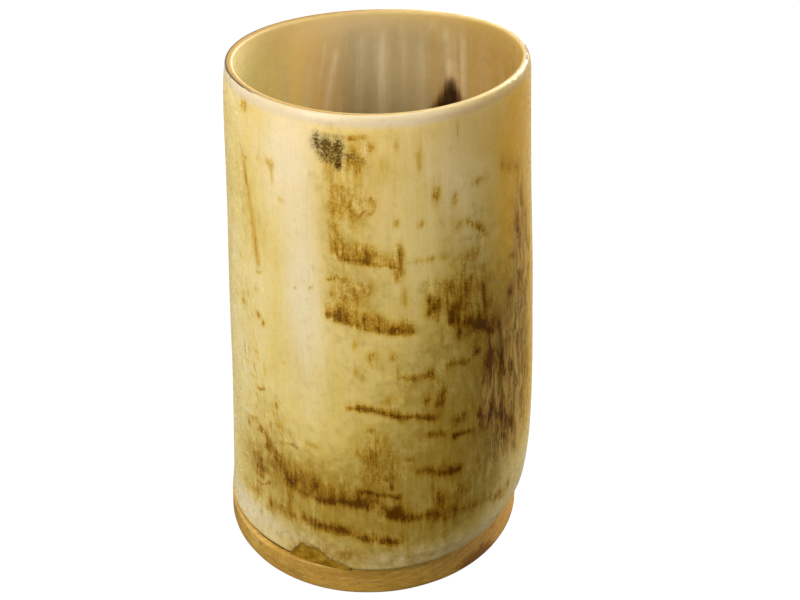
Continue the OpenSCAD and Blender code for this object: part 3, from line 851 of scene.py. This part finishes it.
def horn_material():
    """Polished horn: glossy and slightly translucent, rougher over its stains, flakes and top edge."""
    s = Shader("polished_horn")
    noise = horn_noise(s)
    amount = stain_amount(s, noise)
    plates, cracks = peeled_flakes(s)
    inside, edge = s.field("inside"), s.field("edge_dark")
    colour = s.blend(inside, horn_outside(s, noise, amount, plates, cracks), horn_inside(s))
    colour = s.layers(colour, (edge, 0.1, 0.7, 1, (0.05, 0.02, 0.001)))

    wear = s.times(s.ramp(amount, 0.2, 0.9), s.maths("SUBTRACT", 1, inside))
    rough = s.maths("ADD", s.ramp(noise.mottle, 0.3, 0.75, 0.24, 0.36), s.times(wear, 0.22))
    rough = s.maths("ADD", rough, s.times(s.field("peel"), 0.12))
    rough = s.maths("ADD", rough, s.times(s.maths("MAXIMUM", s.field("rim"), edge), 0.3))
    relief = s.bump(noise.fibre, 0.004)
    relief = s.bump(s.ramp(amount, 0.15, 0.9), 0.02, relief)
    relief = s.bump(s.maths("MULTIPLY_ADD", cracks, -1, plates), 0.32, relief)
    relief = s.bump(noise.mottle, 0.004, relief)
    return s.finish(
        Base_Color=colour, Roughness=rough, Normal=relief, Specular_IOR_Level=0.24,
        Subsurface_Weight=0.5, Subsurface_Radius=(1, 0.9, 0.55), Subsurface_Scale=0.004,
    )


GRAIN = (0, 0, 35)  # the grain runs along X of a space turned by these degrees
PITH_Y, PITH_BELOW, RING_W = 0.02, 0.11, 0.0019  # the tree's middle there, and a year's growth, in metres


def growth_lines(s, sway):
    """The dark late wood of each year, as rings round the tree's middle."""
    turned = s.node("SeparateXYZ", {"Vector": s.place(rotation=GRAIN)}).outputs
    away_y = s.maths("SUBTRACT", turned["Y"], PITH_Y)
    away_z = s.maths("ADD", turned["Z"], PITH_BELOW)
    reach = s.maths("SQRT", s.maths("ADD", s.times(away_y, away_y), s.times(away_z, away_z)))
    year = s.maths("FRACT", s.maths("MULTIPLY_ADD", sway, 1.2, s.maths("DIVIDE", reach, RING_W)))
    return s.times(s.ramp(year, 0.45, 0.95), s.ramp(year, 1, 0.96))


def wood_material():
    """Pale orange-brown wood: long lines where the side runs with the grain, pores where it ends."""
    s = Shader("turned_wood")

    def drawn_out(squeeze, size, **more):
        return s.noise(s.place(scale=(squeeze, 1, 1), rotation=GRAIN), size, **more)

    thread = drawn_out(0.03, 0.6, detail=4, rough=0.65)
    pores = drawn_out(0.1, 0.22, detail=2, rough=0.6)
    cloud = drawn_out(0.35, 9)
    late = growth_lines(s, drawn_out(0.06, 7, detail=2))
    tones = [(0.35, (0.4, 0.21, 0.028)), (0.55, (0.51, 0.285, 0.042)), (0.7, (0.6, 0.37, 0.075))]
    at = s.node("SeparateXYZ", {"Vector": s.place()}).outputs
    heartwood_and_bounce = s.ramp(at["X"], 0.012, 0.034)  # redder heartwood at the right, made lighter there as painted bounce light
    body = s.blend(s.times(heartwood_and_bounce, 0.75), s.colours(cloud, tones), (0.86, 0.45, 0.12))
    body = s.layers(
        s.blend(s.times(late, 0.4), body, (0.34, 0.18, 0.035)),
        (thread, 0.5, 0.75, 0.55, (0.3, 0.16, 0.03)),
        (thread, 0.48, 0.3, 0.4, (0.74, 0.55, 0.22)),
        (pores, 0.6, 0.74, 0.55, (0.15, 0.07, 0.02)),
        (s.noise(s.upright(1.6), 6.5, rough=0.6), 0.6, 0.74, 0.6, (0.24, 0.095, 0.02)),  # rust
    )

    # in the heartwood, a burnt streak and a dark lower edge
    streak_place = s.place(scale=(1, 0.4, 1), where=s.place(rotation=(0, 0, 49)))
    streak = {0: streak_place, 1: (0.040, 0, 0.0015)}  # the place and the streak's middle
    away = s.node("VectorMath", streak, operation="DISTANCE").outputs["Value"]
    body = s.layers(body, (s.vary(away, thread, 0.006), 0.0036, 0.0018, 0.75, (0.22, 0.07, 0.012)))
    low = s.ramp(s.vary(at["Z"], cloud, 0.003), 0.0019, 0.0011)
    low = s.times(low, s.ramp(at["X"], 0.018, 0.028, 0, 0.45))
    body = s.blend(low, body, (0.17, 0.08, 0.016))
    relief = s.bump(thread, 0.05)
    relief = s.bump(s.ramp(pores, 0.58, 0.72, 1, 0), 0.06, relief)
    return s.finish(
        Base_Color=body, Roughness=s.ramp(thread, 0.3, 0.8, 0.42, 0.62), Normal=relief,
        Coat_Weight=0.1, Coat_Roughness=0.3, Specular_IOR_Level=0.3,
    )


def glue_material():
    """Old glue and dust in the joint: nearly black brown, blotched with amber."""
    s = Shader("dark_glue")
    blotch = s.noise(s.place(), 1.8, detail=4, rough=0.65)
    tones = [(0.35, (0.035, 0.018, 0.007)), (0.6, (0.09, 0.045, 0.014)), (0.75, (0.2, 0.11, 0.03))]
    rough = s.ramp(blotch, 0.3, 0.7, 0.35, 0.7)
    return s.finish(Base_Color=s.colours(blotch, tones), Roughness=rough, Normal=s.bump(blotch, 0.1))


def seal_material():
    """Clear resin over the wood floor, seen as warm wood under gloss."""
    s = Shader("clear_resin")
    grain = s.noise(s.place(scale=(0.05, 1, 1), rotation=GRAIN), 0.9, detail=4, rough=0.6)
    cloud = s.noise(s.place(), 12)
    tones = [(0.3, (0.22, 0.11, 0.03)), (0.55, (0.36, 0.2, 0.06)), (0.75, (0.46, 0.28, 0.09))]
    colour = s.layers(s.colours(grain, tones), (cloud, 0.4, 0.7, 0.4, (0.2, 0.1, 0.03)))
    bubbles = s.ramp(s.noise(s.place(), 1.1, detail=1), 0.7, 0.76)
    return s.finish(
        Base_Color=colour, Roughness=s.ramp(cloud, 0.3, 0.7, 0.12, 0.24), Normal=s.bump(bubbles, 0.05),
        Coat_Weight=1, Coat_Roughness=0.08,
    )


def paste_material():
    """Brown filler rubbed into the chip, darkest along its upper edge."""
    s = Shader("brown_paste")
    lumps = s.noise(s.place(), 0.8, detail=4, rough=0.7)
    patch = s.noise(s.place(), 2.6)
    tones = [(0.35, (0.2, 0.1, 0.006)), (0.55, (0.31, 0.17, 0.012)), (0.72, (0.42, 0.25, 0.03))]
    colour = s.layers(
        s.colours(patch, tones),
        (lumps, 0.5, 0.72, 0.6, (0.1, 0.048, 0.01)),
        (s.field("crest"), 0.2, 0.9, 0.6, (0.16, 0.085, 0.02)),
    )
    return s.finish(
        Base_Color=colour, Roughness=s.ramp(lumps, 0.3, 0.7, 0.45, 0.75), Normal=s.bump(lumps, 0.18),
        Specular_IOR_Level=0.12,
    )


def dress(obj, material):
    obj.data.materials.clear()
    obj.data.materials.append(material)


# ---------- camera, light and floor ----------
def aim(forward, roll):
    """A rotation that looks along forward with the horizon rolled by so many degrees."""
    right = forward.cross(Vector((0, 0, 1))).normalized()
    up = right.cross(forward)
    c, s = cosd(roll), sind(roll)
    right, up = right * c + up * s, up * c - right * s
    return Matrix((right, up, -forward)).transposed().to_4x4()


def make_camera():
    """The photo's camera, from a fit to the beaker's outlines."""
    data = bpy.data.cameras.new("camera")
    data.lens, data.sensor_width = 53.55, 36
    data.clip_start, data.clip_end = 0.01, 20
    camera = add_object("camera", data)
    pitch, yaw, roll = 32.85, 1.94, -1.32
    forward = Vector((sind(yaw) * cosd(pitch), cosd(yaw) * cosd(pitch), -sind(pitch)))
    camera.matrix_world = Matrix.Translation((0, -0.2577, 0.2308)) @ aim(forward, roll)
    bpy.context.scene.camera = camera


def make_lamp(name, where, size, power, colour=(1, 1, 1), target=(0, 0, 0.065)):
    """A soft rectangular lamp facing its target, or else the middle of the beaker."""
    data = bpy.data.lights.new(name, "AREA")
    data.shape, data.size, data.size_y = "RECTANGLE", *size
    data.energy, data.color = power, colour
    lamp = add_object(name, data)
    forward = (Vector(target) - Vector(where)).normalized()
    lamp.matrix_world = Matrix.Translation(where) @ aim(forward, 0)
    return lamp


def make_lamps():
    lamps = (
        ("window", (-0.56, -0.44, 0.55), (0.4, 0.5), 7.4, (1, 1, 0.99)),
        ("top", (-0.05, -0.12, 0.9), (0.6, 0.6), 1.6, (1, 1, 1)),
        ("back", (0.24, 0.62, 0.3), (0.3, 0.4), 3.6, (1, 0.99, 0.97)),
        ("far_left", (-0.3, 0.6, 0.4), (0.3, 0.4), 2.8, (1, 1, 0.97)),
        ("fill", (0.4, -0.4, 0.5), (0.3, 0.3), 1.05, (1, 0.99, 0.95)),
        ("right", (0.44, 0.44, 0.38), (0.3, 0.4), 3.9, (1, 0.98, 0.88)),
    )
    for lamp in lamps:
        make_lamp(*lamp)
    foot = (0, 0, 0.03)
    bounce = make_lamp("bounce", (0.15, 0.03, 0.012), (0.14, 0.02), 0.055, (1, 0.9, 0.7), target=foot)
    bounce.visible_camera = False
    bounce.visible_glossy = False


def make_surround():
    """A white surround: faint as light, brighter in reflections and full white behind the beaker."""
    world = bpy.data.worlds.new("surround")
    bpy.context.scene.world = world
    world.use_nodes = True
    nodes, links = world.node_tree.nodes, world.node_tree.links
    ray = nodes.new("ShaderNodeLightPath").outputs
    glossy, seen = nodes.new("ShaderNodeMix"), nodes.new("ShaderNodeMix")
    links.new(ray["Is Glossy Ray"], glossy.inputs[0])
    glossy.inputs[FLOAT_A].default_value = 0.14
    glossy.inputs[FLOAT_B].default_value = 0.34
    links.new(ray["Is Camera Ray"], seen.inputs[0])
    links.new(glossy.outputs[0], seen.inputs[FLOAT_A])
    seen.inputs[FLOAT_B].default_value = 1
    links.new(seen.outputs[0], nodes["Background"].inputs["Strength"])
    nodes["Background"].inputs["Color"].default_value = (1, 1, 1, 1)


def make_floor():
    corners = FLOOR_HALF * np.array([(-1, -1, 0), (1, -1, 0), (1, 1, 0), (-1, 1, 0)])
    floor = quad_mesh("floor", corners, np.array([(0, 1, 2, 3)]))
    dress(floor, floor_material())


def floor_material():
    """Pale paper: a plain white ground that takes only a soft shadow where the beaker stands."""
    s = Shader("pale_floor")
    fibre = s.noise(s.place(), 2)
    paper = s.colours(fibre, [(0.4, (0.115, 0.115, 0.112)), (0.6, (0.125, 0.125, 0.122))])
    s.finish(Base_Color=paper, Roughness=0.8)
    glow = s.node("Emission", {"Color": (1, 1, 1), "Strength": 1.12})
    seen = s.node("LightPath").outputs["Is Camera Ray"]
    both = s.node("MixShader", {"Fac": s.times(seen, 0.9)})
    s.tree.links.new(s.surface.outputs[0], both.inputs[1])
    s.tree.links.new(glow.outputs[0], both.inputs[2])
    s.tree.links.new(both.outputs[0], s.tree.nodes["Material Output"].inputs["Surface"])
    return s.material


# ---------- the beaker ----------
make_camera()
make_lamps()
make_surround()
make_floor()
view = bpy.context.scene.view_settings
view.view_transform = "Standard"
view.use_curve_mapping = True
view.curve_mapping.black_level = (0.006, 0.006, 0.005)

PIECES = (
    (make_barrel, horn_material, "horn_barrel", "horn"),
    (make_base, wood_material, "wood_base", "base_wood"),
    (make_seal, seal_material, "floor_seal", "seal"),
    (make_filler, paste_material, "edge_filler", "filler"),
)
for make, material, node, slot in PIECES:
    piece = make()
    dress(piece, material())
    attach(piece, "root")
    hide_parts(node)
dress(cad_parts["glue_joint"], glue_material())
